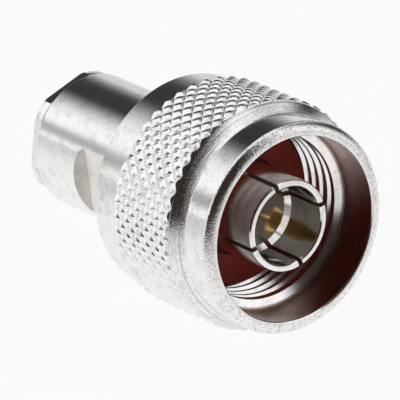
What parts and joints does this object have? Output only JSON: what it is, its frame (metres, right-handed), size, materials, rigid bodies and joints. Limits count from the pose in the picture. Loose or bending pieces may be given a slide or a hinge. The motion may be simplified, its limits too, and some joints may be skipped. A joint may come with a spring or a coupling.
{
  "type": "coaxial cable plug",
  "caption": "Screw-on coaxial plug with a knurled free-turning coupling nut, slotted outer contact, gold centre pin, red face gasket and clamp-type cable entry.",
  "frame": {"origin": "centre of the clamp nut's rear end face, on the plug's axis", "axes": "+Z along the plug's axis, from the cable end to the mating face; the two wrench flats of the body face +Y and -Y"},
  "size_m": [0.0208, 0.0208, 0.0312],
  "materials": {
    "nut_plating": "bright white plating, fine turned",
    "body_plating": "satin white plating",
    "contact_plating": "bright white plating",
    "gold_plating": "polished gold plating",
    "white_insulator": "waxy white",
    "red_silicone": "smooth satin",
    "ring_bronze": "spring bronze, plain",
    "black_rubber": "moulded matt"
  },
  "bodies": {
    "plug_body": {"connector_body": "body_plating", "outer_contact": "contact_plating", "center_pin": "gold_plating", "front_insulator": "white_insulator", "rear_insulator": "white_insulator", "face_gasket": "red_silicone", "snap_ring": "ring_bronze", "braid_clamp": "body_plating", "cable_gasket": "black_rubber", "clamp_washer": "body_plating", "clamp_nut": "body_plating"},
    "coupling_nut": {"coupling_nut": "nut_plating"}
  },
  "joints": [
    {"name": "coupling_spin", "type": "hinge", "parent": "plug_body", "child": "coupling_nut", "pos_m": [0, 0, 0.0185], "axis": [0, 0, 1], "continuous": true}
  ]
}
